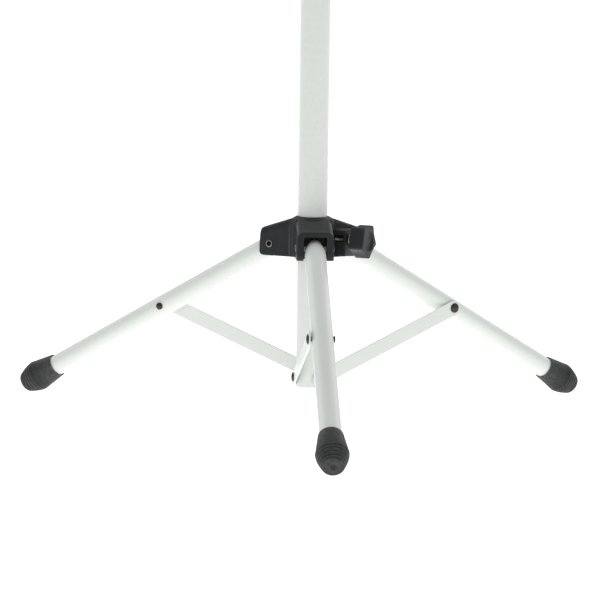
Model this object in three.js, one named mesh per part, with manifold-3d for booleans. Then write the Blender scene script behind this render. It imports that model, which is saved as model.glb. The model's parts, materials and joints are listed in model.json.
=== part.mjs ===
// Folding tripod stand that holds a trumpet bell-down on a tapered peg.
// Millimetres, +Z up. The stand is drawn about the column's axis with Z = 0 at the leg pivots, then moved
// so that the origin is at the centre of the bounding box, on the floor.
import * as THREE from 'three';
import { mergeVertices } from 'three/addons/utils/BufferGeometryUtils.js';
import Module from 'manifold-3d';

const wasm = await Module();
wasm.setup();

const radians = THREE.MathUtils.degToRad;
const RUNNING_GAP = 0.3;                            // clearance between neighbouring pieces
const LEG_ANGLES = [-90, 30, 150].map(radians);

// Column and telescoping inner tube
const COLUMN = { outer: 12.5, inner: 11, bottom: -122, top: 290 };
const INNER_TUBE = { outer: 9.5, inner: 8.2, bottom: 40, top: 362 };
const GUIDE_LENGTH = 14;

// Hub: collar, three clevis arms and the clamp's boss
const HUB = { bottom: -10.2, shoulder: 22.2, top: 24.2, collarRadius: 17.2, lipRadius: 13.8, web: 10 };
const ARM = { width: 31.4, slotWidth: 19.2, slotStart: 22.6, end: 43.2, endTop: 14.4, roofEnd: 9.8,
  roofStart: 12.6, topRound: 5.5, endRound: 1.8 };
const ARM_TOP = { crestRadius: 14, crestHeight: 22.6, browRadius: 37.2, browHeight: 15 };
const PIVOT = { radius: 33.2, shank: 2.6, bore: 2.1, head: 3.1, headThickness: 0.5 };

// Legs, measured along the leg from its pivot
const LEG = { radius: 9, wall: 1.2, slope: radians(29.4), tip: -9.4, noseEnd: 14.7, end: 274 };
const FOOT = { mouth: 251, ring: 272.7, end: 288.1, mouthRadius: 10.4, ringRadius: 13.5, endRadius: 8.6,
  ribs: 5, bulge: 1.5, ribStep: 0.4, dimpleRadius: 2.6, dimpleDepth: 1.2 };

// Braces, flat strips from a leg rivet to the column rivet
const BRACE = { legDistance: 126.1, columnDrop: 114.2, width: 13, thickness: 1.3, legOffset: 10,
  columnOffset: 13.2 };
const RIVET = { shank: 2, head: 4.2, headHeight: 1.7, tail: 3.1, tailHeight: 1.2 };

// Clamp screws, in the hub and in the height clutch, pointing between the front and the right leg
const CLAMP = { angle: radians(-30), height: 5.6, screw: 3, nutFlats: 10, nutThickness: 5 };
const BOSS = { width: 16.8, bottom: -9.4, top: 15.4, end: 35, nutPocketEnd: 22.4 };
const BOSS_RECESS = { from: 23.4, to: 33.2, low: 4.2, high: 10.4, depth: 5.8 };
const KNOB = { cornerRadius: 14.8, cornerRound: 2, flatDistance: 11.8, length: 13.1, neckRadius: 6.5,
  neckLength: 3, dish: 8.8, dishDepth: 1.8, turn: radians(3) };
const KNOB_GAP = 2.5;                               // from a boss to the back of its knob
const SCREW_COLLAR = { radius: 5.4, bossGap: 0.5 };
const PAD = { radius: 3.7, thickness: 2.8, nutDistance: 1.4 };

// Height clutch on top of the column
const CLUTCH = { bottom: 260, top: 302, radius: 19, screwHeight: 275, bossStart: 12, bossEnd: 33,
  bossHalf: 12, bossTipHalf: 9.5, nutPocketEnd: 20.4 };

// Bell support on top of the inner tube
const FLANGE = { radius: 50, plate: 4, rim: 7, rimWidth: 3, socketRadius: 15, socketDepth: 30,
  underside: 348 };
const BELL_PAD = { outer: 46, inner: 24, thickness: 4 };
const PEG = { baseRadius: 20, topRadius: 9, height: 148, sleeve: 1.8, sleeveStart: 10 };
const BOLT = { shank: 4, head: 6.5, headHeight: 7, reach: 38 };

const powderCoat = { color: 0xe4e7e4, roughness: 0.42, metalness: 0.0 };
const blackPlastic = { color: 0x35383a, roughness: 0.5, metalness: 0.0 };
const blackRubber = { color: 0x3a3c3d, roughness: 0.75, metalness: 0.0 };
const darkSteel = { color: 0x3c3a38, roughness: 0.4, metalness: 0.9 };
const plainSteel = { color: 0xa9a8a2, roughness: 0.35, metalness: 1.0 };
const brass = { color: 0xb08d45, roughness: 0.4, metalness: 1.0 };
const felt = { color: 0x2a2b2d, roughness: 0.95, metalness: 0.0 };

// A closed geometry as a solid for joining and cutting
function solidOf(geometry) {
  const bare = geometry.clone();
  bare.deleteAttribute('normal');
  bare.deleteAttribute('uv');
  const merged = mergeVertices(bare, 1e-3);
  const vertProperties = new Float32Array(merged.attributes.position.array);
  const triVerts = new Uint32Array(merged.index.array);
  return new wasm.Manifold(new wasm.Mesh({ numProp: 3, vertProperties, triVerts }));
}

function geometryOf(solid) {
  const { vertProperties, triVerts } = solid.getMesh();
  const geometry = new THREE.BufferGeometry();
  geometry.setAttribute('position', new THREE.BufferAttribute(new Float32Array(vertProperties), 3));
  geometry.setIndex(new THREE.BufferAttribute(new Uint32Array(triVerts), 1));
  geometry.computeVertexNormals();
  return geometry;
}

// Solid turned about Z from [radius, z] points that run anticlockwise around the section
function turned(profile, segments) {
  const points = profile.map(([radius, z]) => new THREE.Vector2(radius, z));
  return solidOf(new THREE.LatheGeometry(points, segments).rotateX(Math.PI / 2));
}

function disc(radius, from, to, segments) {
  return turned([[0, from], [radius, from], [radius, to], [0, to]], segments);
}

function ring(outer, inner, from, to, segments) {
  return turned([[inner, from], [outer, from], [outer, to], [inner, to], [inner, from]], segments);
}

function prism(shape, depth, curveSegments) {
  return new THREE.ExtrudeGeometry(shape, { depth, bevelEnabled: false, curveSegments });
}

// Outline in the XZ plane, extruded evenly to both sides along Y
function slab(shape, width, curveSegments = 6) {
  return solidOf(prism(shape, width, curveSegments).rotateX(Math.PI / 2).translate(0, width / 2, 0));
}

function outline(points) {
  return new THREE.Shape(points.map(([x, z]) => new THREE.Vector2(x, z)));
}

const QUARTER = 90;
const aboutZ = (solid, angle) => solid.rotate([0, 0, THREE.MathUtils.radToDeg(angle)]);
const alongX = (solid) => solid.rotate([0, QUARTER, 0]);       // Z axis to +X
const alongY = (solid) => solid.rotate([QUARTER, 0, 0]);       // Z axis to -Y

function piece(name, solid, finish) {
  const mesh = new THREE.Mesh(geometryOf(solid), new THREE.MeshStandardMaterial(finish));
  mesh.name = name;
  return mesh;
}

// Side view of a clevis arm, with rounded outer corners
function armProfile() {
  const { end, endTop } = ARM;
  const shape = new THREE.Shape();
  shape.moveTo(8, HUB.bottom);
  shape.lineTo(end - 5, HUB.bottom);
  shape.quadraticCurveTo(end, HUB.bottom, end, HUB.bottom + 5.2);
  shape.lineTo(end - 1.4, endTop - 3);
  shape.quadraticCurveTo(end - 1.6, endTop, ARM_TOP.browRadius, ARM_TOP.browHeight);
  shape.lineTo(ARM_TOP.crestRadius, ARM_TOP.crestHeight);
  shape.lineTo(8, ARM_TOP.crestHeight);
  return shape;
}

// Prism that rounds the two long edges of an arm's sloping top
function armCrown() {
  const { crestRadius, crestHeight, browRadius, browHeight } = ARM_TOP;
  const { width, topRound } = ARM;
  const half = width / 2;
  const depth = 60;
  const shape = outline([[-half, -depth], [half, -depth], [half, -topRound]]);
  shape.quadraticCurveTo(half, 0, half - topRound, 0);
  shape.lineTo(topRound - half, 0);
  shape.quadraticCurveTo(-half, 0, -half, -topRound);
  const geometry = prism(shape, 2 * depth, 5);
  geometry.translate(0, 0, -depth).rotateX(Math.PI / 2).rotateZ(Math.PI / 2);
  geometry.rotateY(Math.atan2(crestHeight - browHeight, browRadius - crestRadius));
  return solidOf(geometry.translate(crestRadius, 0, crestHeight));
}

// Prism that rounds the two upright edges at an arm's outer end
function armPlan() {
  const { width, end, endRound } = ARM;
  const half = width / 2;
  const shape = outline([[0, half], [0, -half], [end - endRound, -half]]);
  shape.quadraticCurveTo(end, -half, end, endRound - half);
  shape.lineTo(end, half - endRound);
  shape.quadraticCurveTo(end, half, end - endRound, half);
  return solidOf(prism(shape, 80, 3).translate(0, 0, -40));
}

// Upright web with a hollow face, where two neighbouring arms meet at the collar
function webSolid() {
  const half = ARM.width / 2;
  const { web, bottom, shoulder } = HUB;
  const centre = (half + web) / Math.sin(Math.PI / 3);
  const shape = outline([[8, 0], [centre - web * Math.cos(Math.PI / 6), -web / 2]]);
  shape.absarc(centre, 0, web, -Math.PI * 5 / 6, Math.PI * 5 / 6, true);
  return solidOf(prism(shape, shoulder - bottom, 6).translate(0, 0, bottom));
}

function arm() {
  const { slotStart, slotWidth, roofStart, roofEnd, end } = ARM;
  const beyond = 10;
  const slot = outline([[slotStart, HUB.bottom - beyond], [end + beyond, HUB.bottom - beyond],
    [end + beyond, roofEnd], [end, roofEnd], [slotStart + 4, roofStart], [slotStart, roofStart - 4]]);
  const hole = alongY(disc(PIVOT.shank + RUNNING_GAP, -ARM.width, ARM.width, 16));
  const pivotHole = hole.translate([PIVOT.radius, 0, 0]);
  const body = slab(armProfile(), ARM.width, 4).intersect(armCrown()).intersect(armPlan());
  return { body, cut: slab(slot, slotWidth).add(pivotHole) };
}

// Hexagonal pocket and screw hole of a clamp, along +X at the given height
function clampCut(pocketStart, pocketEnd, holeEnd, height) {
  const pocketRadius = (CLAMP.nutFlats / 2 + RUNNING_GAP) / Math.cos(Math.PI / 6);
  const pocket = alongX(disc(pocketRadius, pocketStart, pocketEnd, 6));
  const hole = alongX(disc(CLAMP.screw + RUNNING_GAP, pocketStart, holeEnd, 16));
  return pocket.add(hole).translate([0, 0, height]);
}

function hubSolid() {
  const { collarRadius, lipRadius, bottom, shoulder, top } = HUB;
  const bore = COLUMN.outer + RUNNING_GAP;
  const collar = [[0, bottom], [collarRadius, bottom], [collarRadius, shoulder], [lipRadius, top], [0, top]];
  let body = turned(collar, 48);
  let cuts = disc(bore, bottom - 10, top + 10, 48);
  for (const angle of LEG_ANGLES) {
    const { body: armBody, cut } = arm();
    body = body.add(aboutZ(armBody, angle)).add(aboutZ(webSolid(), angle + Math.PI / 3));
    cuts = cuts.add(aboutZ(cut, angle));
  }
  const { width, bottom: bossBottom, top: bossTop, end } = BOSS;
  const boss = outline([[10, bossBottom], [end, bossBottom + 1.6], [end, bossTop - 1], [10, bossTop]]);
  const { from, to, low, high, depth } = BOSS_RECESS;
  const recess = outline([[from, low], [to, low], [to, high], [from, high]]);
  const sideRecess = slab(recess, depth * 2).translate([0, -width / 2, 0]);
  body = body.add(aboutZ(slab(boss, width), CLAMP.angle));
  const clamp = clampCut(8, BOSS.nutPocketEnd, end + 10, CLAMP.height).add(sideRecess);
  return body.subtract(cuts.add(aboutZ(clamp, CLAMP.angle)));
}

// Rounded nose that swings inside the clevis, then a plain open tube
function legSolid() {
  const { radius, wall, tip, noseEnd, end } = LEG;
  const noseSteps = 7;
  const nose = Array.from({ length: noseSteps + 1 }, (_, i) => {
    const turn = (i / noseSteps) * Math.PI / 2;
    return [radius * Math.sin(turn), noseEnd - (noseEnd - tip) * Math.cos(turn)];
  });
  const boreStart = noseEnd + 4;
  const bore = [[radius, end], [radius - wall, end], [radius - wall, boreStart], [0, boreStart]];
  const tube = alongX(turned([...nose, ...bore], 28));
  const pivotHole = alongY(disc(PIVOT.shank + RUNNING_GAP, -2 * radius, 2 * radius, 16));
  const rivetHole = alongY(disc(RIVET.shank + RUNNING_GAP, -2 * radius, 2 * radius, 12));
  return tube.subtract(pivotHole).subtract(rivetHole.translate([BRACE.legDistance, 0, 0]));
}

// Rubber boot: plain skirt, widest ring, then ribs that step down in a curve to the flat end
function footSolid() {
  const { mouth, ring: ringAt, end, mouthRadius, ringRadius, endRadius, ribs } = FOOT;
  const { bulge, ribStep, dimpleRadius, dimpleDepth } = FOOT;
  const radiusAt = (share) => ringRadius + (endRadius - ringRadius) * share ** bulge;
  const steps = [];
  for (let i = 0; i < ribs; i += 1) {
    const start = ringAt + (end - ringAt) * (i / ribs);
    const finish = ringAt + (end - ringAt) * ((i + 1) / ribs);
    steps.push([radiusAt(i / ribs), start], [radiusAt((i + 1) / ribs) + ribStep, finish - ribStep]);
  }
  const socket = LEG.radius + RUNNING_GAP;
  const socketEnd = LEG.end + RUNNING_GAP;
  const skirt = [[0, socketEnd], [socket, socketEnd], [socket, mouth], [mouthRadius, mouth]];
  const tip = [[endRadius, end], [dimpleRadius, end], [0, end - dimpleDepth]];
  return alongX(turned([...skirt, ...steps, ...tip], 28));
}

// Eyelet through both clevis walls, flared over at its ends
function pivotSolid() {
  const { shank, bore, head, headThickness } = PIVOT;
  const half = ARM.width / 2 + RUNNING_GAP;
  const tip = half + headThickness;
  return alongY(turned([[bore, -tip], [head, -tip], [head, -half], [shank, -half],
    [shank, half], [head, half], [head, tip], [bore, tip], [bore, -tip]], 16));
}

// Domed rivet along -Y: its head starts at headFrom and its tail, if any, ends past the far side
function rivetSolid(headFrom, shankEnd, hasTail) {
  const { shank, head, headHeight, tail, tailHeight } = RIVET;
  const headTop = headFrom + headHeight;
  const tailTop = shankEnd - tailHeight;
  const headEdge = headFrom + headHeight * 0.6;
  const dome = [[head, headFrom], [head * 0.9, headEdge], [head * 0.5, headTop], [0, headTop]];
  const tailEdge = tailTop + tailHeight * 0.7;
  const tailDome = [[0, tailTop], [tail * 0.7, tailTop], [tail, tailEdge], [tail, shankEnd]];
  const lowerEnd = hasTail ? tailDome : [[0, shankEnd]];
  return alongY(turned([...lowerEnd, [shank, shankEnd], [shank, headFrom], ...dome], 14));
}

function braceSolid(length) {
  const half = BRACE.width / 2;
  const shape = new THREE.Shape();
  shape.absarc(0, 0, half, Math.PI / 2, Math.PI * 1.5);
  shape.absarc(length, 0, half, -Math.PI / 2, Math.PI / 2);
  for (const x of [0, length]) {
    const hole = new THREE.Path();
    hole.absarc(x, 0, RIVET.shank + RUNNING_GAP, 0, Math.PI * 2);
    shape.holes.push(hole);
  }
  return slab(shape, BRACE.thickness, 8);
}

// Five-cornered outline with rounded corners and slightly hollow flats
function knobOutline() {
  const { cornerRadius, cornerRound, flatDistance, turn } = KNOB;
  const corners = 5;
  const halfStep = Math.PI / corners;
  const centre = cornerRadius - cornerRound;
  const control = 2 * flatDistance - (centre * Math.cos(halfStep) + cornerRound);
  const shape = new THREE.Shape();
  for (let i = 0; i < corners; i += 1) {
    const angle = turn + 2 * halfStep * i;
    const flat = angle - halfStep;
    const startX = centre * Math.cos(angle) + cornerRound * Math.cos(flat);
    const startY = centre * Math.sin(angle) + cornerRound * Math.sin(flat);
    if (i === 0) shape.moveTo(startX, startY);
    else shape.quadraticCurveTo(control * Math.cos(flat), control * Math.sin(flat), startX, startY);
    shape.absarc(centre * Math.cos(angle), centre * Math.sin(angle), cornerRound, flat, angle + halfStep);
  }
  const last = turn - halfStep;
  const [first] = shape.getPoints();
  shape.quadraticCurveTo(control * Math.cos(last), control * Math.sin(last), first.x, first.y);
  return shape;
}

// Star grip on a round neck, with a dished outer end
function knobSolid() {
  const { cornerRadius, length, neckRadius, neckLength, dish, dishDepth } = KNOB;
  const end = neckLength + length;
  const star = solidOf(prism(knobOutline(), length, 5).translate(0, 0, neckLength));
  const chamfer = 1.2;
  const outer = cornerRadius + 0.1;
  const inner = cornerRadius - chamfer;
  const envelope = turned([[0, -1], [inner, -1], [inner, neckLength], [outer, neckLength + chamfer],
    [outer, end - chamfer], [inner, end], [0, end]], 40);
  const dishFloor = end - dishDepth;
  const dishCut = turned([[0, dishFloor], [dish * 0.8, dishFloor], [dish, end + 1], [0, end + 1]], 24);
  const screwHole = disc(CLAMP.screw + RUNNING_GAP, -1, neckLength + length * 0.6, 16);
  const neck = disc(neckRadius, 0, neckLength + 1, 24);
  return star.intersect(envelope).add(neck).subtract(dishCut).subtract(screwHole);
}

function nutSolid() {
  const radius = CLAMP.nutFlats / 2 / Math.cos(Math.PI / 6);
  return disc(radius, 0, CLAMP.nutThickness, 6).subtract(disc(CLAMP.screw + RUNNING_GAP, -1, 10, 16));
}

// Screw, knob, nut and pad of one clamp, laid along the group's +X
function clampPieces(prefix, tubeRadius, knobFrom) {
  const group = new THREE.Group();
  const padFrom = tubeRadius + RUNNING_GAP;
  const padTo = padFrom + PAD.thickness;
  const nutFrom = padTo + PAD.nutDistance;
  const screwTo = knobFrom + KNOB.neckLength + KNOB.length * 0.6 - RUNNING_GAP;
  const { radius } = PAD;
  const pad = alongX(disc(radius, padFrom, padTo, 18));
  const rod = disc(CLAMP.screw, padTo + RUNNING_GAP, screwTo, 16);
  const collarFrom = knobFrom - KNOB_GAP + SCREW_COLLAR.bossGap;
  const screw = alongX(rod.add(disc(SCREW_COLLAR.radius, collarFrom, knobFrom - RUNNING_GAP, 6)));
  const nut = alongX(nutSolid()).translate([nutFrom, 0, 0]);
  const knob = alongX(knobSolid()).translate([knobFrom, 0, 0]);
  group.add(piece(`${prefix}_pad`, pad, brass), piece(`${prefix}_screw`, screw, plainSteel));
  group.add(piece(`${prefix}_nut`, nut, plainSteel), piece(`${prefix}_knob`, knob, blackPlastic));
  group.rotation.z = CLAMP.angle;
  return group;
}

function clutchSolid() {
  const { bottom, top, radius, screwHeight, bossEnd } = CLUTCH;
  const columnBore = COLUMN.outer + RUNNING_GAP;
  const tubeBore = INNER_TUBE.outer + RUNNING_GAP;
  const stop = COLUMN.top + RUNNING_GAP;
  const outside = [[radius - 3, bottom], [radius, bottom + 4], [radius, top - 6], [tubeBore + 4, top],
    [tubeBore, top]];
  const inside = [[tubeBore, stop], [columnBore, stop], [columnBore, bottom], [radius - 3, bottom]];
  const { bossStart, bossHalf, bossTipHalf, nutPocketEnd } = CLUTCH;
  const boss = outline([[bossStart, -bossHalf], [bossEnd, -bossTipHalf],
    [bossEnd, bossTipHalf], [bossStart, bossHalf]]);
  const bossSolid = slab(boss, BOSS.width).translate([0, 0, screwHeight]);
  const clear = disc(columnBore, bottom - 1, stop, 40);
  const shell = turned([...outside, ...inside], 40).add(aboutZ(bossSolid, CLAMP.angle)).subtract(clear);
  return shell.subtract(aboutZ(clampCut(8, nutPocketEnd, bossEnd + 10, screwHeight), CLAMP.angle));
}

function columnSolid() {
  const { outer, inner, bottom, top } = COLUMN;
  const tube = ring(outer, inner, bottom, top, 48);
  const padHole = alongX(disc(PAD.radius + RUNNING_GAP, inner - 3, outer + 3, 18));
  return tube.subtract(aboutZ(padHole.translate([0, 0, CLUTCH.screwHeight]), CLAMP.angle));
}

// Sleeve that fills the space between the column and the inner tube
function bushing(from, to) {
  return ring(COLUMN.inner - RUNNING_GAP, INNER_TUBE.outer + RUNNING_GAP, from, to, 36);
}

function clutchBushSolid() {
  const bush = bushing(CLUTCH.bottom, COLUMN.top);
  const padHole = alongX(disc(PAD.radius + RUNNING_GAP, INNER_TUBE.outer - 2, COLUMN.outer, 18));
  return bush.subtract(aboutZ(padHole.translate([0, 0, CLUTCH.screwHeight]), CLAMP.angle));
}

// Round plate with a raised rim and a socket under it for the inner tube
function flangeSolid() {
  const { radius, plate, rim, rimWidth, socketRadius, socketDepth, underside } = FLANGE;
  const socket = INNER_TUBE.outer + RUNNING_GAP;
  const socketTop = INNER_TUBE.top + RUNNING_GAP;
  const boltHole = BOLT.shank + RUNNING_GAP;
  const floor = underside + socketDepth;
  const below = [[socket, underside], [socketRadius, underside], [socketRadius + 2, floor - 6],
    [radius - 8, floor - 1], [radius, floor + 1], [radius, floor + rim]];
  const above = [[radius - rimWidth, floor + rim], [radius - rimWidth, floor + plate],
    [boltHole, floor + plate], [boltHole, socketTop], [socket, socketTop], [socket, underside]];
  return turned([...below, ...above], 48);
}

// Tapered core of the peg, with a blind hole for the bolt
function pegSolid(from) {
  const { baseRadius, topRadius, height, sleeve, sleeveStart } = PEG;
  const boltHole = BOLT.shank + RUNNING_GAP;
  const holeEnd = from + BOLT.reach + 2;
  const top = from + height - sleeve - 1;
  return turned([[boltHole, from], [baseRadius, from], [baseRadius, from + sleeveStart],
    [baseRadius - sleeve, from + sleeveStart], [topRadius - sleeve, top], [0, top], [0, holeEnd],
    [boltHole, holeEnd], [boltHole, from]], 32);
}

// Soft cover that slips over the peg from above
function sleeveSolid(from) {
  const { baseRadius, topRadius, height, sleeve, sleeveStart } = PEG;
  const skin = sleeve - RUNNING_GAP;
  const start = from + sleeveStart + RUNNING_GAP;
  const top = from + height;
  const outside = [[baseRadius, start], [topRadius, top - 6], [topRadius * 0.72, top - 1.6], [0, top]];
  const inside = [[0, top - sleeve], [topRadius - skin, top - sleeve], [baseRadius - skin, start]];
  return turned([[baseRadius - skin, start], ...outside, ...inside], 32);
}

function boltSolid(from) {
  const { head, headHeight, shank, reach } = BOLT;
  const headTop = INNER_TUBE.top;
  const headBottom = headTop - headHeight;
  return turned([[0, headBottom], [head, headBottom], [head, headTop], [shank, headTop],
    [shank, from + reach], [0, from + reach]], 18);
}

function bellSupport() {
  const from = FLANGE.underside + FLANGE.socketDepth + FLANGE.plate + RUNNING_GAP;
  const { outer, inner, thickness } = BELL_PAD;
  const group = new THREE.Group();
  group.add(piece('bell_flange', flangeSolid(), blackPlastic));
  group.add(piece('bell_pad', ring(outer, inner, from, from + thickness, 48), felt));
  group.add(piece('bell_peg', pegSolid(from), blackPlastic), piece('peg_sleeve', sleeveSolid(from), felt));
  group.add(piece('peg_bolt', boltSolid(from), plainSteel));
  return group;
}

// One leg with its foot, pivot, brace and rivets, drawn with the leg running out along +X
function legAssembly(number, angle) {
  const arms = new THREE.Group();
  arms.rotation.z = angle;
  const swing = new THREE.Group();
  swing.position.x = PIVOT.radius;
  swing.rotation.y = LEG.slope;
  swing.add(piece(`leg_tube_${number}`, legSolid(), powderCoat));
  swing.add(piece(`foot_${number}`, footSolid(), blackRubber));
  const legHeadFrom = BRACE.legOffset + BRACE.thickness + RUNNING_GAP;
  const legRivet = rivetSolid(legHeadFrom, -LEG.radius - RUNNING_GAP, true);
  swing.add(piece(`leg_rivet_${number}`, legRivet.translate([BRACE.legDistance, 0, 0]), darkSteel));
  const pivot = piece(`leg_pivot_${number}`, pivotSolid(), plainSteel);
  pivot.position.x = PIVOT.radius;

  const outX = PIVOT.radius + BRACE.legDistance * Math.cos(LEG.slope);
  const outZ = -BRACE.legDistance * Math.sin(LEG.slope);
  const reach = Math.hypot(outX, outZ + BRACE.columnDrop);
  const shift = BRACE.columnOffset - BRACE.legOffset;
  const lean = Math.atan2(shift, reach);
  const brace = piece(`brace_${number}`, braceSolid(Math.hypot(reach, shift)), powderCoat);
  brace.rotation.z = -lean;
  brace.position.y = -BRACE.legOffset - BRACE.thickness / 2;
  const strut = new THREE.Group();
  strut.position.set(outX, 0, outZ);
  strut.rotation.y = Math.PI - Math.atan2(outZ + BRACE.columnDrop, outX);
  strut.add(brace);
  const headFrom = BRACE.columnOffset + BRACE.thickness + RUNNING_GAP;
  const columnRivet = rivetSolid(headFrom, COLUMN.outer + RUNNING_GAP, false);
  const columnPin = piece(`column_rivet_${number}`, columnRivet, darkSteel);
  columnPin.position.z = -BRACE.columnDrop;
  arms.add(swing, pivot, strut, columnPin);
  return arms;
}

const stand = new THREE.Group();
stand.add(piece('hub', hubSolid(), blackPlastic), piece('column', columnSolid(), powderCoat));
LEG_ANGLES.forEach((angle, index) => stand.add(legAssembly(index + 1, angle)));

const hubClamp = clampPieces('clamp', COLUMN.outer, BOSS.end + KNOB_GAP);
hubClamp.position.z = CLAMP.height;
const clutchClamp = clampPieces('clutch', INNER_TUBE.outer, CLUTCH.bossEnd + KNOB_GAP);
clutchClamp.position.z = CLUTCH.screwHeight;
stand.add(hubClamp, clutchClamp);

const innerTube = ring(INNER_TUBE.outer, INNER_TUBE.inner, INNER_TUBE.bottom, INNER_TUBE.top, 40);
const guideBush = bushing(INNER_TUBE.bottom, INNER_TUBE.bottom + GUIDE_LENGTH);
stand.add(piece('clutch_body', clutchSolid(), blackPlastic));
stand.add(piece('clutch_bush', clutchBushSolid(), blackPlastic));
stand.add(piece('inner_tube', innerTube, plainSteel), piece('guide_bush', guideBush, blackPlastic));
stand.add(bellSupport());

// Origin at the centre of the bounding box, on the floor
const reachBox = new THREE.Box3().setFromObject(stand, true);
const middle = reachBox.getCenter(new THREE.Vector3());
stand.position.set(-middle.x, -middle.y, -reachBox.min.z);

export default stand;
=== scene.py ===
import json
import math

import bmesh
import bpy
from mathutils import Matrix, Vector


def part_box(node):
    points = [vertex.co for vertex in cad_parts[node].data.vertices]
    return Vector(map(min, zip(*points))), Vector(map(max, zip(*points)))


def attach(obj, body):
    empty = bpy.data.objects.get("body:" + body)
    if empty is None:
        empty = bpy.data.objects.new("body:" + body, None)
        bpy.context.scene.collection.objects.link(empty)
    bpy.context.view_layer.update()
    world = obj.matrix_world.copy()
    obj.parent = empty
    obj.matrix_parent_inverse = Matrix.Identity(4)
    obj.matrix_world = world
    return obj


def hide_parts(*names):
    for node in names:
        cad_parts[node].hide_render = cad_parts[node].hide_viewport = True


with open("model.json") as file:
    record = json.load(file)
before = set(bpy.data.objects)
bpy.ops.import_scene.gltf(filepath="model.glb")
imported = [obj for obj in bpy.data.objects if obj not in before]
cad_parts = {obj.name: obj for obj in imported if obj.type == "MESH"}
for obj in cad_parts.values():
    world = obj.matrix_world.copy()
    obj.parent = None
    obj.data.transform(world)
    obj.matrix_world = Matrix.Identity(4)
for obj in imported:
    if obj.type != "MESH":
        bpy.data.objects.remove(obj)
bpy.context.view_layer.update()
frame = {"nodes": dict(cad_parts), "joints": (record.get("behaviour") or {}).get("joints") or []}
nodes = frame["nodes"]
joints = {joint["name"]: joint for joint in frame["joints"]}
mm = 0.001
legNumbers = (1, 2, 3)
up = Vector((0, 0, 1))
rangeInputs = ("From Min", "From Max", "To Min", "To Max")  # of a Map Range node


def jointPoint(name):
    return Vector(joints[name]["pos_m"])


def jointAxis(name):
    return Vector(joints[name]["axis"]).normalized()


def middleOf(node):
    low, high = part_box(node)
    return (low + high) / 2


def placeAt(origin, along, side):  # X runs along, Y leans towards side
    x = Vector(along).normalized()
    z = x.cross(Vector(side)).normalized()
    place = Matrix((x, z.cross(x), z)).transposed().to_4x4()
    place.translation = origin
    return place


columnAxis = Vector((middleOf("column").x, middleOf("column").y, 0))
pivotHeight = jointPoint("leg_1_fold").z
hubCentre = columnAxis + up * pivotHeight


def newPiece(name, points, faces, place=Matrix.Identity(4)):
    mesh = bpy.data.meshes.new(name)
    mesh.from_pydata([tuple(p) for p in points], [], faces)
    work = bmesh.new()
    work.from_mesh(mesh)
    bmesh.ops.recalc_face_normals(work, faces=work.faces)
    work.to_mesh(mesh)
    work.free()
    mesh.transform(place)
    piece = bpy.data.objects.new(name, mesh)
    bpy.context.scene.collection.objects.link(piece)
    return piece


def loft(name, rings, place=Matrix.Identity(4), closed=False):  # joins rings of points in turn
    count = len(rings[0])
    points = [p for ring in rings for p in ring]
    faces = []
    for i in range(len(rings) if closed else len(rings) - 1):
        a, b = i * count, ((i + 1) % len(rings)) * count
        faces += [(a + j, a + (j + 1) % count, b + (j + 1) % count, b + j) for j in range(count)]
    if not closed:  # a fan closes each end
        for start, ring in ((0, rings[0]), ((len(rings) - 1) * count, rings[-1])):
            points.append(sum((Vector(p) for p in ring), Vector()) / count)
            faces += [(start + j, start + (j + 1) % count, len(points) - 1) for j in range(count)]
    return newPiece(name, points, faces, place)


def circle(x, radius, steps):
    turns = [2 * math.pi * j / steps for j in range(steps)]
    return [(x, radius * math.cos(t), radius * math.sin(t)) for t in turns]


def turnedPiece(name, profile, place, steps=64, closed=False, uneven=None):  # profile of (x, radius) in mm
    rings = []
    for x, radius in profile:
        ring = circle(x * mm, radius * mm, steps)
        if uneven:  # (x, radius, turn) gives a nudge along x and outwards, in mm
            turns = [2 * math.pi * j / steps for j in range(steps)]
            nudges = [uneven(x, radius, t) for t in turns]
            ring = [((x + a) * mm, (radius + r) * mm * math.cos(t), (radius + r) * mm * math.sin(t))
                    for t, (a, r) in zip(turns, nudges)]
        rings.append(ring)
    return loft(name, rings, place, closed)


def arcPoints(centreX, centreR, radius, fromDeg, toDeg, steps=5):  # round stretch of a profile
    turns = [math.radians(fromDeg + (toDeg - fromDeg) * i / steps) for i in range(steps + 1)]
    return [(centreX + radius * math.cos(t), centreR + radius * math.sin(t)) for t in turns]


def roundEdges(piece, width, segments=2, sharpAbove=32):
    work = bmesh.new()
    work.from_mesh(piece.data)
    limit = math.radians(sharpAbove)
    sharp = [e for e in work.edges if e.is_manifold and e.calc_face_angle(0) > limit]
    bmesh.ops.bevel(work, geom=sharp, offset=width * mm, segments=segments, profile=0.5,
                    affect="EDGES", clamp_overlap=True)
    work.to_mesh(piece.data)
    work.free()
    return piece


def smoothShade(piece, angle=40):
    piece.data.shade_smooth()
    piece.data.set_sharp_from_angle(angle=math.radians(angle))
    weighted = piece.modifiers.new("weightedNormals", "WEIGHTED_NORMAL")
    weighted.keep_sharp = True
    return piece


def applyModifiers(piece):
    graph = bpy.context.evaluated_depsgraph_get()
    mesh = bpy.data.meshes.new_from_object(piece.evaluated_get(graph))
    piece.modifiers.clear()
    piece.data = mesh
    return piece


def mouldedBlank(name, node):
    piece = bpy.data.objects.new(name, nodes[node].data.copy())
    bpy.context.scene.collection.objects.link(piece)
    return piece


def mouldedCopy(name, node, voxel, passes):  # a CAD shape with the soft edges of a moulding
    return softenBody(mouldedBlank(name, node), voxel, passes)


def addTo(piece, extra):  # overlapping shells that softenBody then skins as one
    work = bmesh.new()
    work.from_mesh(piece.data)
    work.from_mesh(extra.data)
    work.to_mesh(piece.data)
    work.free()
    bpy.data.objects.remove(extra)


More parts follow.
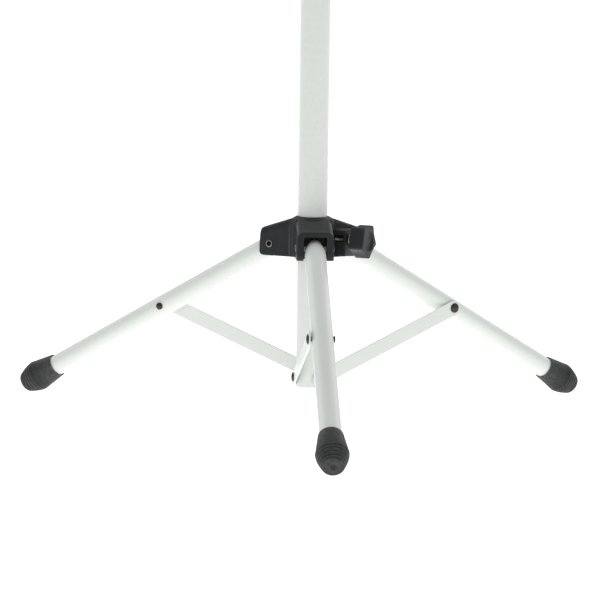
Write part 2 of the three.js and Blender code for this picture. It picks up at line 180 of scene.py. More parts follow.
def softenBody(piece, voxel, passes):
    remesh = piece.modifiers.new("skin", "REMESH")
    remesh.mode, remesh.voxel_size = "VOXEL", voxel * mm
    relax = piece.modifiers.new("relax", "SMOOTH")
    relax.factor, relax.iterations = 0.5, passes
    thin = piece.modifiers.new("thin", "DECIMATE")
    thin.ratio = 0.35
    applyModifiers(piece)
    piece.data.shade_smooth()
    return piece


def fit(piece, body, slot, material, *replaced):
    piece.data.materials.clear()
    piece.data.materials.append(material)
    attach(piece, body)
    if replaced:
        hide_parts(*replaced)
    return piece


class Finish:  # a node material built up in layers
    def __init__(self, name):
        self.material = bpy.data.materials.new(name)
        self.material.use_nodes = True
        self.tree = self.material.node_tree
        self.shader = self.tree.nodes["Principled BSDF"]
        self.coords = self.tree.nodes.new("ShaderNodeTexCoord").outputs["Object"]

    def add(self, kind, **values):
        node = self.tree.nodes.new(kind)
        for key, value in values.items():
            setattr(node, key, value)
        return node

    def link(self, source, target):
        self.tree.links.new(source, target)

    def noise(self, scale, detail=3, rough=0.5, stretch=(1, 1, 1)):  # scale in features per metre
        mapping = self.add("ShaderNodeMapping")
        mapping.inputs["Scale"].default_value = stretch
        texture = self.add("ShaderNodeTexNoise")
        texture.inputs["Scale"].default_value = scale
        texture.inputs["Detail"].default_value = detail
        texture.inputs["Roughness"].default_value = rough
        self.link(self.coords, mapping.inputs["Vector"])
        self.link(mapping.outputs["Vector"], texture.inputs["Vector"])
        return texture.outputs["Fac"]

    def edges(self, low, high):  # 0 on flats, 1 on sharp outer corners, where finishes wear and the moulding's edges get a painted highlight
        pointy = self.add("ShaderNodeNewGeometry").outputs["Pointiness"]
        return self.span(pointy, low, high, 0, 1)

    def span(self, value, fromLow, fromHigh, toLow, toHigh):
        node = self.add("ShaderNodeMapRange")
        for key, number in zip(rangeInputs, (fromLow, fromHigh, toLow, toHigh)):
            node.inputs[key].default_value = number
        self.link(value, node.inputs["Value"])
        return node.outputs["Result"]

    def blend(self, amount, first, second):  # colours are tuples or sockets
        node = self.add("ShaderNodeMix", data_type="RGBA")
        self.link(amount, node.inputs["Factor"])
        for socket, colour in ((node.inputs["A"], first), (node.inputs["B"], second)):
            if isinstance(colour, tuple):
                socket.default_value = (*colour, 1)
            else:
                self.link(colour, socket)
        return node.outputs["Result"]

    def bump(self, height, distance, strength=1.0, under=None):
        node = self.add("ShaderNodeBump")
        node.inputs["Distance"].default_value = distance * mm
        node.inputs["Strength"].default_value = strength
        self.link(height, node.inputs["Height"])
        if under:
            self.link(under, node.inputs["Normal"])
        return node.outputs["Normal"]

    def set(self, **values):
        for key, value in values.items():
            socket = self.shader.inputs[key.replace("_", " ")]
            if isinstance(value, bpy.types.NodeSocket):
                self.link(value, socket)
            else:
                socket.default_value = (*value, 1) if isinstance(value, tuple) else value
        return self.material


def whitePowderCoat():
    coat = {"tone": (0.735, 0.768, 0.728), "shade": (0.715, 0.748, 0.71), "wear": (0.55, 0.56, 0.55)}
    f = Finish("whitePowderCoat")
    mottle = f.span(f.noise(9, 3), 0.35, 0.65, 0, 1)
    colour = f.blend(mottle, coat["tone"], coat["shade"])
    worn = f.add("ShaderNodeMath", operation="MULTIPLY")
    f.link(f.edges(0.54, 0.66), worn.inputs[0])
    f.link(f.span(f.noise(260, 5), 0.5, 0.65, 0, 0.5), worn.inputs[1])
    colour = f.blend(worn.outputs["Value"], colour, coat["wear"])
    peel = f.bump(f.noise(480, 2, 0.4), 0.03, 0.3)
    grain = f.bump(f.noise(3200, 2), 0.008, 0.2, peel)
    rough = f.span(f.noise(200, 3), 0.3, 0.7, 0.36, 0.42)
    return f.set(Base_Color=colour, Roughness=rough, Normal=grain, IOR=1.5, Coat_Weight=0.2,
                 Coat_Roughness=0.2)


def blackMoulding():
    # the rubbed colour is partly edge wear and partly a painted highlight along the moulding's edges
    resin = {"tone": (0.0165, 0.0185, 0.0195), "shade": (0.0245, 0.0265, 0.0275),
             "rubbed": (0.08, 0.082, 0.083)}
    f = Finish("blackMoulding")
    flow = f.span(f.noise(60, 5, 0.6, (1, 1, 0.4)), 0.35, 0.7, 0, 1)
    colour = f.blend(flow, resin["tone"], resin["shade"])
    # lighter along sharp edges: rubbing wear plus a painted highlight standing in for edge reflections
    rubbed = f.add("ShaderNodeMath", operation="MULTIPLY")
    f.link(f.edges(0.512, 0.575), rubbed.inputs[0])
    f.link(f.span(f.noise(500, 4), 0.35, 0.65, 0.15, 0.8), rubbed.inputs[1])
    colour = f.blend(rubbed.outputs["Value"], colour, resin["rubbed"])
    grain = f.bump(f.noise(2600, 3, 0.6), 0.025, 0.45)
    rough = f.span(f.noise(180, 4), 0.3, 0.7, 0.34, 0.46)
    return f.set(Base_Color=colour, Roughness=rough, Normal=grain, IOR=1.5, Specular_IOR_Level=0.2)


def blackRubber():
    rubber = {"tone": (0.0165, 0.0175, 0.018), "bloom": (0.032, 0.0335, 0.0345),
              "scuffed": (0.12, 0.12, 0.12)}
    f = Finish("blackRubber")
    bloom = f.span(f.noise(90, 6, 0.65), 0.4, 0.7, 0, 1)
    colour = f.blend(bloom, rubber["tone"], rubber["bloom"])
    ridges = f.add("ShaderNodeMath", operation="MULTIPLY")
    f.link(f.edges(0.512, 0.57), ridges.inputs[0])
    f.link(f.span(f.noise(400, 4), 0.35, 0.6, 0.3, 1), ridges.inputs[1])
    colour = f.blend(ridges.outputs["Value"], colour, rubber["scuffed"])
    grain = f.bump(f.noise(1500, 4, 0.6), 0.04, 0.45)
    rough = f.span(f.noise(300, 3), 0.3, 0.7, 0.48, 0.62)
    return f.set(Base_Color=colour, Roughness=rough, Normal=grain, IOR=1.5, Specular_IOR_Level=0.26)


def blackenedSteel():
    steel = {"tone": (0.04, 0.039, 0.036), "bare": (0.14, 0.135, 0.125)}
    f = Finish("blackenedSteel")
    rubbed = f.span(f.noise(900, 4), 0.5, 0.7, 0, 0.8)
    colour = f.blend(rubbed, steel["tone"], steel["bare"])
    dimples = f.bump(f.noise(1800, 3), 0.02, 0.45)
    rough = f.span(f.noise(700, 3), 0.3, 0.7, 0.3, 0.5)
    return f.set(Base_Color=colour, Roughness=rough, Normal=dimples, Metallic=0.9, Specular_IOR_Level=0.4)


def platedSteel(name, tone, shade, roughLow, roughHigh, brushed):
    f = Finish(name)
    cloudy = f.span(f.noise(240, 4), 0.35, 0.65, 0, 1)
    colour = f.blend(cloudy, tone, shade)
    lines = f.bump(f.noise(1400, 3, 0.6, brushed), 0.01, 0.35)
    rough = f.span(f.noise(420, 4), 0.3, 0.7, roughLow, roughHigh)
    return f.set(Base_Color=colour, Roughness=rough, Normal=lines, Metallic=1.0)


def blackFelt():
    wool = {"tone": (0.012, 0.0125, 0.0135), "tuft": (0.05, 0.051, 0.054)}
    f = Finish("blackFelt")
    tufts = f.span(f.noise(1100, 6, 0.75), 0.4, 0.7, 0, 1)
    colour = f.blend(tufts, wool["tone"], wool["tuft"])
    nap = f.bump(f.noise(1600, 6, 0.8), 0.35, 0.9)
    fibres = f.bump(f.noise(5200, 3, 0.7, (1, 1, 0.3)), 0.12, 0.6, nap)
    return f.set(Base_Color=colour, Roughness=0.95, Normal=fibres, Sheen_Weight=0.45, Sheen_Roughness=0.5)


coatWhite = whitePowderCoat()
plasticBlack = blackMoulding()
rubberBlack = blackRubber()
steelBlack = blackenedSteel()
steelDull = platedSteel("dulledZinc", (0.3, 0.29, 0.27), (0.2, 0.195, 0.18), 0.35, 0.5, (1, 1, 1))
steelZinc = platedSteel("zincPlate", (0.58, 0.55, 0.47), (0.46, 0.43, 0.36), 0.25, 0.42, (1, 1, 1))
brassTurned = platedSteel("turnedBrass", (0.62, 0.45, 0.19), (0.5, 0.35, 0.14), 0.25, 0.4, (1, 1, 1))
chromeBright = platedSteel("brightChrome", (0.56, 0.57, 0.58), (0.54, 0.55, 0.565), 0.1, 0.18, (1, 1, 0.05))
feltBlack = blackFelt()
print("materials ready")


def lookingFrom(azimuth, elevation):
    a, e = math.radians(azimuth), math.radians(elevation)
    return Vector((math.sin(a) * math.cos(e), -math.cos(a) * math.cos(e), math.sin(e)))


def setCamera():
    view = {"azimuth": -3.73, "elevation": 6.07, "roll": 0.75, "distance": 2.6305,
            "lens": 185.5, "right": -0.0098, "above": -0.048}  # metres from the hub's centre
    a = math.radians(view["azimuth"])
    right = Vector((math.cos(a), math.sin(a), 0))
    target = hubCentre + right * view["right"] + up * view["above"]
    eye = hubCentre + lookingFrom(view["azimuth"], view["elevation"]) * view["distance"]
    data = bpy.data.cameras.new("camera")
    data.lens, data.sensor_width, data.clip_end = view["lens"], 36, 50
    camera = bpy.data.objects.new("camera", data)
    camera.matrix_world = placeCamera(eye, target, view["roll"])
    bpy.context.scene.collection.objects.link(camera)
    bpy.context.scene.camera = camera


def placeCamera(eye, target, roll):
    turn = (target - eye).to_track_quat("-Z", "Y").to_matrix().to_4x4()
    return Matrix.Translation(eye) @ turn @ Matrix.Rotation(math.radians(roll), 4, "Z")


def softbox(name, place, target, size, power):
    data = bpy.data.lights.new(name, "AREA")
    data.shape, data.size, data.size_y, data.energy = "RECTANGLE", size[0], size[1], power
    lamp = bpy.data.objects.new(name, data)
    lamp.matrix_world = placeCamera(Vector(place), Vector(target), 0)
    bpy.context.scene.collection.objects.link(lamp)


def setSky(sky):  # pale at the horizon, then brighter with height, and dimmer behind the stand
    world = bpy.data.worlds.new("studio")
    world.use_nodes = True
    tree = world.node_tree
    coords = tree.nodes.new("ShaderNodeTexCoord")
    split = tree.nodes.new("ShaderNodeSeparateXYZ")
    tree.links.new(coords.outputs["Generated"], split.inputs["Vector"])

    def ramp(source, kind, *numbers):
        node = tree.nodes.new("ShaderNodeMapRange")
        node.interpolation_type = kind
        for key, value in zip(rangeInputs, numbers):
            node.inputs[key].default_value = value
        tree.links.new(source, node.inputs["Value"])
        return node

    rise = ramp(split.outputs["Z"], "LINEAR", 0, 1, sky["low"], sky["high"])
    across = ramp(split.outputs["Y"], "LINEAR", -1, 1, sky["front"], sky["back"])
    dome = tree.nodes.new("ShaderNodeMath")
    dome.operation = "MULTIPLY"
    tree.links.new(rise.outputs["Result"], dome.inputs[0])
    tree.links.new(across.outputs["Result"], dome.inputs[1])
    rim = ramp(split.outputs["Z"], "SMOOTHSTEP", sky["fadeFrom"], sky["fadeTo"], sky["horizon"], 0)
    tree.links.new(dome.outputs["Value"], rim.inputs["To Max"])
    background = tree.nodes["Background"]
    background.inputs["Color"].default_value = (1, 1, 1, 1)
    tree.links.new(rim.outputs["Result"], background.inputs["Strength"])
    bpy.context.scene.world = world


def setStudio():
    setSky({"horizon": 0.97, "low": 0.26, "high": 1.1, "front": 1.0, "back": 0.6, "fadeFrom": 0.005,
            "fadeTo": 0.05})
    # the floor's glow is raised within about a metre of the stand, a painted pool of light round the feet
    floor = {"size": 80, "tone": (0.5, 0.5, 0.5), "glow": 0.85, "paintedLightPool": 1.14, "paintedLightPoolFrom": 0.2, "paintedLightPoolTo": 1.0}
    lamps = {"side": (0.5, 1.8), "sidePower": 0.6, "rear": (1.2, 1.2), "rearPower": 5}
    softbox("rightBox", hubCentre + Vector((1.9, -0.3, 0.5)), hubCentre, lamps["side"], lamps["sidePower"])
    for name, x in (("rearLeftBox", -1.2), ("rearRightBox", 1.2)):
        softbox(name, hubCentre + Vector((x, 1.4, 0.84)), hubCentre, lamps["rear"], lamps["rearPower"])
    half = floor["size"]
    corners = ((-half, -half), (half, -half), (half, half), (-half, half))
    ground = loft("floor", [[(x, y, z) for x, y in corners] for z in (-0.02, 0)])
    f = Finish("paleFloor")
    tone = f.blend(f.noise(3, 2), floor["tone"], tuple(0.98 * v for v in floor["tone"]))
    distance = f.add("ShaderNodeVectorMath", operation="LENGTH")
    f.link(f.coords, distance.inputs[0])
    # the glow is stronger near the stand and fades outwards: a painted pool of light on the floor
    glow = f.span(distance.outputs["Value"], floor["paintedLightPoolFrom"], floor["paintedLightPoolTo"], floor["paintedLightPool"], floor["glow"])
    f.set(Base_Color=tone, Roughness=0.9, Emission_Color=(1, 1, 1), Emission_Strength=glow)
    f.set(Specular_IOR_Level=0.0)
    ground.data.materials.append(f.material)
    bpy.context.scene.view_settings.view_transform = "Standard"


setCamera()
setStudio()
print("studio ready")


def tubePiece(name, outer, wall, top, bottom, place):
    lip = 0.35
    profile = [(bottom, outer - wall + lip), (bottom, outer - lip), (bottom + lip, outer),
               (top - lip, outer), (top, outer - lip), (top, outer - wall + lip),
               (top - lip, outer - wall), (bottom + lip, outer - wall)]
    return smoothShade(turnedPiece(name, profile, place, 96, closed=True))


def buildColumn():
    column = {"outer": 12.5, "wall": 1.5}
    low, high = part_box("column")
    place = placeAt(columnAxis, up, Vector((1, 0, 0)))
    tube = tubePiece("columnTube", column["outer"], column["wall"], high.z / mm, low.z / mm, place)
    fit(tube, "column", "white_coat", coatWhite, "column")


def buildHub():
    casting = mouldedCopy("hubMoulding", "hub", voxel=0.45, passes=6)
    fit(casting, "hub", "black_moulding", plasticBlack, "hub")


buildColumn()
buildHub()
print("column and hub ready")


def legPlace(number):
    pivot = jointPoint(f"leg_{number}_fold")
    return placeAt(pivot, jointPoint(f"brace_{number}_fold") - pivot, jointAxis(f"leg_{number}_fold"))


def bracePlace(number):  # X from the leg rivet to the column rivet
    low = middleOf(f"column_rivet_{number}")
    start = jointPoint(f"brace_{number}_fold")
    side = jointAxis(f"leg_{number}_fold")
    end = low - side * (low - start).dot(side)
    return placeAt(start, end - start, side), (end - start).length


def buildLeg(number):
    leg = {"radius": 9, "wall": 1.2, "tip": -9.4, "noseEnd": 14.7, "end": 274}
    turns = [math.pi / 2 * i / 14 for i in range(1, 15)]
    nose = [(leg["noseEnd"] - (leg["noseEnd"] - leg["tip"]) * math.cos(t), leg["radius"] * math.sin(t))
            for t in turns]
    bore = leg["radius"] - leg["wall"]
    barrel = [(leg["end"] - 0.4, leg["radius"]), (leg["end"], leg["radius"] - 0.4), (leg["end"], bore),
              (leg["noseEnd"] + 6, bore)]
    tube = smoothShade(turnedPiece(f"legTube{number}", nose + barrel, legPlace(number), 72))
    fit(tube, f"leg_{number}", "white_coat", coatWhite, f"leg_tube_{number}")


def buildFoot(number):
    foot = {"mouth": 251, "ring": 272.7, "end": 288.1, "mouthRadius": 10.35, "ringRadius": 13.5,
            "endRadius": 8.6, "ribs": 5, "bulge": 1.5, "groove": 0.5, "nose": 0.35, "socket": 9.3,
            "socketEnd": 274.3}
    length = (foot["end"] - foot["ring"]) / foot["ribs"]

    def radiusAt(rib):
        drop = foot["ringRadius"] - foot["endRadius"]
        return foot["ringRadius"] - drop * (rib / foot["ribs"]) ** foot["bulge"]

    profile = [(foot["mouth"] + 0.3, foot["socket"]), (foot["mouth"], foot["socket"] + 0.3),
               (foot["mouth"], foot["mouthRadius"] - 0.2), (foot["mouth"] + 0.3, foot["mouthRadius"])]
    for rib in range(foot["ribs"]):  # each rib is a rounded step with a groove behind it
        at, after = foot["ring"] + rib * length, radiusAt(rib + 1)
        profile += [(at - foot["nose"], radiusAt(rib) - 0.12), (at, radiusAt(rib)),
                    (at + foot["nose"], radiusAt(rib + 0.12) - 0.06)]
        profile += [(at + length * 0.6, radiusAt(rib + 0.6)), (at + length * 0.74, after - foot["groove"]),
                    (at + length * 0.86, after - foot["groove"])]
    end = foot["end"]
    profile += arcPoints(end - 0.8, foot["endRadius"] - 0.8, 0.8, 80, 0, 4)
    profile += [(end, 2.9), (end - 0.3, 2.5), (end - 1.1, 1.2), (end - 1.2, 0.3)]
    profile = [(foot["socketEnd"], 0.3), (foot["socketEnd"], foot["socket"])] + profile
    boot = smoothShade(turnedPiece(f"footBoot{number}", profile, legPlace(number), 72))
    fit(boot, f"leg_{number}", "foot_rubber", rubberBlack, f"foot_{number}")


def buildBrace(number):
    strip = {"width": 13, "thickness": 1.3, "legOffset": 10, "columnOffset": 13.2, "hole": 2.3}
    place, length = bracePlace(number)
    half, span = strip["width"] / 2, length / mm
    around = arcPoints(0, 0, half, 90, 270, 20) + arcPoints(span, 0, half, -90, 90, 20)
    lean = (strip["columnOffset"] - strip["legOffset"]) / span
    faces = [[(x * mm, -(strip["legOffset"] + x * lean + out) * mm, z * mm) for x, z in around]
             for out in (0, strip["thickness"])]
    blade = loft(f"braceStrip{number}", faces, place)
    roundEdges(blade, 0.35, 3)
    smoothShade(blade)
    fit(blade, f"brace_arm_{number}", "white_coat", coatWhite, f"brace_{number}")


def rivetHead(base, radius, height):  # profile of a domed head standing on x = base
    return [(base, radius), (base + 0.35, radius), (base + 0.6 * height, radius * 0.86),
            (base + 0.88 * height, radius * 0.55), (base + height, radius * 0.2)]


def buildLegRivet(number):
    rivet = {"shank": 2, "head": 4.2, "height": 1.7, "base": 11.6, "tail": 3.1, "tailHeight": 1.2,
             "tailBase": 9.3}
    origin = jointPoint(f"brace_{number}_fold")
    side = -jointAxis(f"leg_{number}_fold")
    tail = [(-x, r) for x, r in reversed(rivetHead(rivet["tailBase"], rivet["tail"], rivet["tailHeight"]))]
    profile = tail + [(-rivet["tailBase"], rivet["shank"]), (rivet["base"], rivet["shank"])]
    profile += rivetHead(rivet["base"], rivet["head"], rivet["height"])
    pin = smoothShade(turnedPiece(f"legRivet{number}", profile, placeAt(origin, side, up), 40))
    fit(pin, f"leg_{number}", "dark_rivet", steelBlack, f"leg_rivet_{number}")


def buildColumnRivet(number):
    rivet = {"shank": 2, "head": 4.2, "height": 1.7, "base": 14.8, "from": 12.8}
    side = -jointAxis(f"leg_{number}_fold")
    origin = columnAxis + up * middleOf(f"column_rivet_{number}").z
    profile = [(rivet["from"], 0.2), (rivet["from"], rivet["shank"]), (rivet["base"], rivet["shank"])]
    profile += rivetHead(rivet["base"], rivet["head"], rivet["height"])
    pin = smoothShade(turnedPiece(f"columnRivet{number}", profile, placeAt(origin, side, up), 40))
    fit(pin, f"brace_arm_{number}", "dark_rivet", steelBlack, f"column_rivet_{number}")


def buildPivot(number):
    eyelet = {"shank": 2.6, "bore": 2.1, "flare": 3.1, "half": 16.0, "lip": 0.45}
    seat, tip, flare = eyelet["half"], eyelet["half"] + eyelet["lip"], eyelet["flare"]
    end = [(seat, eyelet["shank"]), (seat, flare - 0.1), (seat + 0.15, flare), (seat + 0.3, flare - 0.08),
           (tip, flare - 0.35), (tip, eyelet["bore"] + 0.25), (tip - 0.25, eyelet["bore"])]
    profile = [(-x, r) for x, r in reversed(end)] + end
    place = placeAt(jointPoint(f"leg_{number}_fold"), jointAxis(f"leg_{number}_fold"), up)
    pin = smoothShade(turnedPiece(f"pivotEyelet{number}", profile, place, 48, closed=True))
    fit(pin, "hub", "zinc_steel", steelDull, f"leg_pivot_{number}")


for number in legNumbers:
    buildLeg(number)
    buildFoot(number)
    buildBrace(number)
    buildLegRivet(number)
    buildColumnRivet(number)
    buildPivot(number)
print("legs ready")


def clampPlace(prefix):
    axis = jointAxis(f"{prefix}_knob_turn")
    return placeAt(columnAxis + up * jointPoint(f"{prefix}_knob_turn").z, axis, up.cross(axis))


def knobTurns(knob):  # closer together on the corners than along the flats
    corner = math.atan2(knob["round"] * math.sin(math.pi / 5),
                        knob["corner"] - knob["round"] * (1 - math.cos(math.pi / 5)))
    steps = [-corner + 2 * corner * i / 8 for i in range(8)]
    steps += [corner + (2 * math.pi / 5 - 2 * corner) * i / 16 for i in range(16)]
    return [(side, step) for side in range(5) for step in steps], corner


def starRadius(knob, corner, step):  # step is the turn from a corner
    centre, half = knob["corner"] - knob["round"], math.pi / 5
    if abs(step) <= corner:
        return centre * math.cos(step) + math.sqrt(knob["round"] ** 2 - (centre * math.sin(step)) ** 2)
    fromFlat = half - step
    full = centre * math.cos(half) + knob["round"]
    return (knob["flat"] + (full - knob["flat"]) * (fromFlat / (half - corner)) ** 2) / math.cos(fromFlat)


def knobRing(knob, x, share, radius, inset=0.0):  # share 0 is a circle, 1 is the five-cornered star
    turns, corner = knobTurns(knob)
    points = []
    for side, step in turns:
        t = knob["turn"] + side * 2 * math.pi / 5 + step
        r = radius * (1 - share) + (starRadius(knob, corner, step) - inset) * share
        points.append((x * mm, r * mm * math.cos(t), r * mm * math.sin(t)))
    return points


def buildKnob(prefix, start):
    knob = {"corner": 14.8, "round": 2, "flat": 11.8, "turn": math.radians(-15), "neck": 6.5, "neckLength": 3,
            "length": 13.1, "edge": 1.1, "dish": 8.8, "dishDepth": 1.8, "hole": 3.3, "holeEnd": 10.8}
    back, end = start + knob["neckLength"], start + knob["neckLength"] + knob["length"]
    edge = knob["edge"]
    rings = [knobRing(knob, x, 0, radius) for x, radius in (
        (start + knob["holeEnd"], 0.2), (start + knob["holeEnd"], knob["hole"]), (start, knob["hole"]),
        (start, knob["neck"] - 0.4), (start + 0.4, knob["neck"]), (back - 0.6, knob["neck"]),
        (back - 0.15, knob["neck"] + 0.2), (back, knob["neck"] + 0.7))]
    for i in range(6):  # rounded edge round the back
        t = math.pi / 2 * i / 5
        rings.append(knobRing(knob, back + edge * (1 - math.cos(t)), 1, 0, edge * (1 - math.sin(t))))
    for i in range(6):  # and round the outer end
        t = math.pi / 2 * i / 5
        rings.append(knobRing(knob, end - edge * (1 - math.sin(t)), 1, 0, edge * (1 - math.cos(t))))
    dish, depth = knob["dish"], knob["dishDepth"]
    for x, radius in ((0, dish + 0.3), (0.12, dish), (0.5, dish - 0.25), (depth * 0.7, dish - 0.9),
                      (depth, dish - 1.8), (depth, 3), (depth, 0.3)):
        rings.append(knobRing(knob, end - x, 0, radius))
    grip = smoothShade(loft(f"{prefix}KnobGrip", rings, clampPlace(prefix)), 50)
    fit(grip, f"{prefix}_knob", "black_moulding", plasticBlack, f"{prefix}_knob")


def buildScrew(prefix, start, end, collarFrom):
    thread = {"radius": 3, "depth": 0.42, "pitch": 1.0, "around": 36, "perTurn": 8, "tip": 0.5, "taper": 0.9}
    collar = {"flat": 4.65, "corner": 5.25, "length": 1.7, "edge": 0.3}
    around, count = thread["around"], int((end - start) / thread["pitch"] * thread["perTurn"])
    collarTo = collarFrom + collar["length"]

    def threadRing(x):
        ring = []
        for j in range(around):
            t = 2 * math.pi * j / around
            wave = abs(((x / thread["pitch"] - j / around) % 1) * 2 - 1)
            radius = (thread["radius"] - thread["depth"] * wave) * mm
            ring.append((x * mm, radius * math.cos(t), radius * math.sin(t)))
        return ring

    def hexRing(x, inset):  # six-sided, with its corners turned off
        ring = []
        for j in range(around):
            t = 2 * math.pi * j / around
            flat = collar["flat"] / math.cos((t % (math.pi / 3)) - math.pi / 6)
            radius = min(flat, collar["corner"]) - inset
            ring.append((x * mm, radius * mm * math.cos(t), radius * mm * math.sin(t)))
        return ring

    steps = [start + thread["tip"] + (end - start - thread["tip"]) * i / count for i in range(count + 1)]
    rings = [circle(start * mm, (thread["radius"] - thread["taper"]) * mm, around)]
    rings += [threadRing(x) for x in steps if x < collarFrom]
    edge = collar["edge"]
    rings += [hexRing(x, inset) for x, inset in ((collarFrom, edge), (collarFrom + edge, 0),
                                                 (collarTo - edge, 0), (collarTo, edge))]
    rings += [threadRing(x) for x in steps if x > collarTo]
    rod = smoothShade(loft(f"{prefix}ScrewRod", rings, clampPlace(prefix)), 50)
    fit(rod, f"{prefix}_knob", "zinc_steel", steelZinc, f"{prefix}_screw")


clamps = {"clamp": {"screwFrom": 15.9, "collarFrom": 35.5, "knobFrom": 37.5, "screwTo": 48},
          "clutch": {"screwFrom": 12.9, "collarFrom": 33.5, "knobFrom": 35.5, "screwTo": 46}}
for prefix, reach in clamps.items():  # distances from the column's axis
    buildKnob(prefix, reach["knobFrom"])
    buildScrew(prefix, reach["screwFrom"], reach["screwTo"], reach["collarFrom"])
print("clamps ready")


upPlace = placeAt(hubCentre, up, Vector((1, 0, 0)))  # heights count from the leg pivots


def buildClutch():
    clutch = {"lowBand": 263.5, "highBand": 290, "radius": 19, "band": 0.7, "bandHeight": 4.5,
              "bandDepth": 2.5, "voxel": 0.5, "passes": 6}
    inner, outer = clutch["radius"] - clutch["bandDepth"], clutch["radius"] + clutch["band"]
    shell = mouldedBlank("clutchMoulding", "clutch_body")
    for low in (clutch["lowBand"], clutch["highBand"]):  # a raised band near each end
        high = low + clutch["bandHeight"]
        band = [(low, inner), (low, outer), (high, outer), (high, inner)]
        addTo(shell, turnedPiece("band", band, upPlace, 96, True))
    softenBody(shell, clutch["voxel"], clutch["passes"])
    fit(shell, "column", "black_moulding", plasticBlack, "clutch_body")


def buildInnerTube():
    tube = {"outer": 9.5, "wall": 1.3, "bottom": 40, "top": 362}
    body = tubePiece("innerTube", tube["outer"], tube["wall"], tube["top"], tube["bottom"], upPlace)
    fit(body, "bell_post", "bright_chrome", chromeBright, "inner_tube")


def buildFlange():
    flange = {"radius": 50, "underside": 348, "plateBottom": 378, "plateTop": 382, "rimTop": 385,
              "rimWidth": 3, "socket": 9.8, "socketTop": 362.3, "bolt": 4.3, "ribs": 8, "ribWidth": 2.4,
              "voxel": 0.55, "passes": 5}
    low, radius = flange["underside"], flange["radius"]
    rimInner = radius - flange["rimWidth"]
    profile = [(low, flange["socket"]), (low, 15), (low + 1.2, 15.6), (low + 20, 16.6)]
    profile += arcPoints(low + 20, 26, 9.4, 270, 360, 8)[1:]  # sweep from the socket into the plate
    profile += [(flange["plateBottom"] - 0.3, 42), (flange["plateBottom"] + 1, radius),
                (flange["rimTop"], radius),
                (flange["rimTop"], rimInner), (flange["plateTop"], rimInner),
                (flange["plateTop"], flange["bolt"]), (flange["socketTop"], flange["bolt"]),
                (flange["socketTop"], flange["socket"])]
    plate = turnedPiece("flangeMoulding", profile, upPlace, 120, closed=True)
    half = flange["ribWidth"] / 2
    side = [(low + 4, 14.5), (low + 9, 17.5), (flange["plateBottom"] - 3, 39),
            (flange["plateBottom"] + 1, 43), (flange["plateBottom"] + 1, 14.5)]
    for i in range(flange["ribs"]):  # webs that carry the plate
        turn = Matrix.Rotation(2 * math.pi * (i + 0.5) / flange["ribs"], 4, "X")
        rings = [[(x * mm, y * mm, z * mm) for x, y in side] for z in (-half, half)]
        addTo(plate, loft("rib", rings, upPlace @ turn))
    softenBody(plate, flange["voxel"], flange["passes"])
    fit(plate, "bell_post", "black_moulding", plasticBlack, "bell_flange")


def buildBellPad():
    pad = {"inner": 24, "outer": 46, "bottom": 382.3, "top": 386.3, "round": 1.7}
    low, high, r = pad["bottom"], pad["top"], pad["round"]
    profile = [(low, pad["inner"] + 0.4), (low + 0.4, pad["inner"])]
    profile += arcPoints(high - r, pad["inner"] + r, r, 270, 360, 6)
    flat = pad["outer"] - pad["inner"] - 2 * r
    profile += [(high - 0.05 - 0.08 * math.sin(i), pad["inner"] + r + flat * i / 8) for i in range(1, 8)]
    profile += arcPoints(high - r, pad["outer"] - r, r, 0, 90, 6)
    profile += [(low + 0.4, pad["outer"]), (low, pad["outer"] - 0.4)]

    def uneven(x, radius, t):  # cut felt is never quite even
        share = max(0, (x - low) / (high - low))
        return (-share * (0.1 + 0.06 * math.sin(5 * t + radius) + 0.05 * math.sin(17 * t - radius * 0.6)),
                share * 0.08 * math.sin(9 * t + x))

    ring = smoothShade(turnedPiece("bellFeltRing", profile, upPlace, 180, True, uneven), 60)
    fit(ring, "bell_post", "black_felt", feltBlack, "bell_pad")


def buildPeg():
    peg = {"base": 20, "low": 382.3, "shoulder": 392.3, "core": 18.2, "tip": 7.2, "top": 527.5, "bolt": 4.3,
           "boltTop": 422.3}
    profile = [(peg["boltTop"], 0.3), (peg["boltTop"], peg["bolt"]), (peg["low"], peg["bolt"])]
    profile += arcPoints(peg["low"] + 0.6, peg["base"] - 0.6, 0.6, 180, 90, 4)
    groove = ((3.2, 0), (3.7, 0.5), (4.4, 0.5), (4.9, 0))  # height and depth, round the foot of the peg
    profile += [(peg["low"] + height, peg["base"] - depth) for height, depth in groove]
    profile += arcPoints(peg["shoulder"] - 0.6, peg["base"] - 0.6, 0.6, 90, 0, 4)
    profile += [(peg["shoulder"], peg["core"]), (peg["top"], peg["tip"]), (peg["top"], 0.3)]
    core = smoothShade(turnedPiece("pegCore", profile, upPlace, 96))
    fit(core, "bell_post", "black_moulding", plasticBlack, "bell_peg")


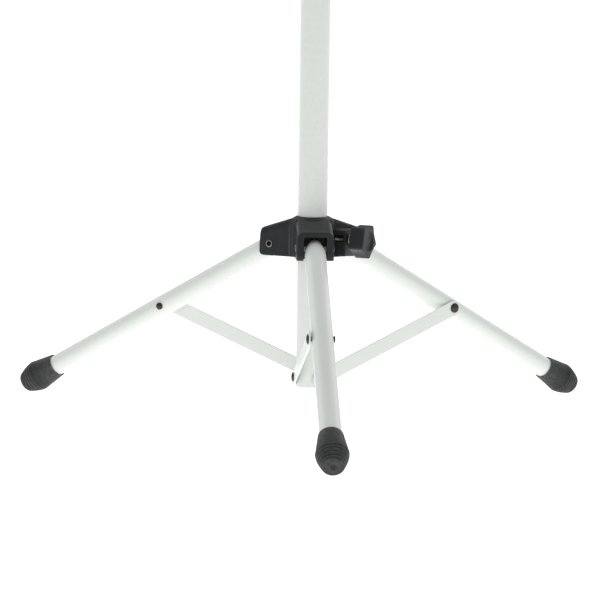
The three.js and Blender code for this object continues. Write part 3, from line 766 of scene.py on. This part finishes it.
def buildSleeve():
    sleeve = {"low": 392.6, "high": 524.3, "base": 20, "tip": 9, "top": 530.3, "innerBase": 18.5,
              "innerTip": 7.5, "innerTop": 528.5, "seam": math.radians(160), "seamWidth": 0.05}
    inside = [(sleeve["innerTop"], 0.3), (sleeve["innerTop"], sleeve["innerTip"]),
              (sleeve["low"] + 0.3, sleeve["innerBase"])]
    steps = 60
    outside = [(sleeve["low"], sleeve["innerBase"] + 0.3), (sleeve["low"], sleeve["base"] - 0.4)]
    outside += [(sleeve["low"] + 0.4 + (sleeve["high"] - sleeve["low"] - 0.4) * i / steps,
                 sleeve["base"] + (sleeve["tip"] - sleeve["base"]) * i / steps) for i in range(steps + 1)]
    outside += [(sleeve["top"] - 6 * (1 - math.sin(t)), sleeve["tip"] - 0.2 - 8.5 * (1 - math.cos(t)))
                for t in [math.pi / 2 * i / 8 for i in range(1, 8)]] + [(sleeve["top"], 0.3)]

    def uneven(x, radius, t):  # the felt's butt seam runs up one side, and its surface waves a little
        if radius < 1 or x <= sleeve["low"] + 0.3 or x == sleeve["innerTop"]:
            return 0, 0
        away = (t - sleeve["seam"] + math.pi) % (2 * math.pi) - math.pi
        width = sleeve["seamWidth"] * sleeve["base"] / radius
        groove = -0.75 * math.exp(-(away / width) ** 2)
        lips = 0.3 * math.exp(-((abs(away) - 2.3 * width) / width) ** 2)
        stitches = 0.12 * math.cos(x * 2 * math.pi / 5) * math.exp(-(away / (2.5 * width)) ** 2)
        wave = 0.09 * math.sin(3 * t + x * 0.07) + 0.06 * math.sin(7 * t - x * 0.13)
        return 0, groove + lips + stitches + wave - 0.35

    cover = smoothShade(turnedPiece("pegFeltSleeve", inside + outside, upPlace, 160, uneven=uneven), 60)
    fit(cover, "bell_post", "black_felt", feltBlack, "peg_sleeve")


buildClutch()
buildInnerTube()
buildFlange()
buildBellPad()
buildPeg()
buildSleeve()
print("bell support ready")


keptFinish = {"clamp_nut": steelZinc, "clutch_nut": steelZinc, "clamp_pad": brassTurned,
              "clutch_pad": brassTurned, "clutch_bush": plasticBlack, "guide_bush": plasticBlack,
              "peg_bolt": steelZinc}
for node, material in keptFinish.items():
    nodes[node].data.materials.clear()
    nodes[node].data.materials.append(material)
print("frame pieces ready")
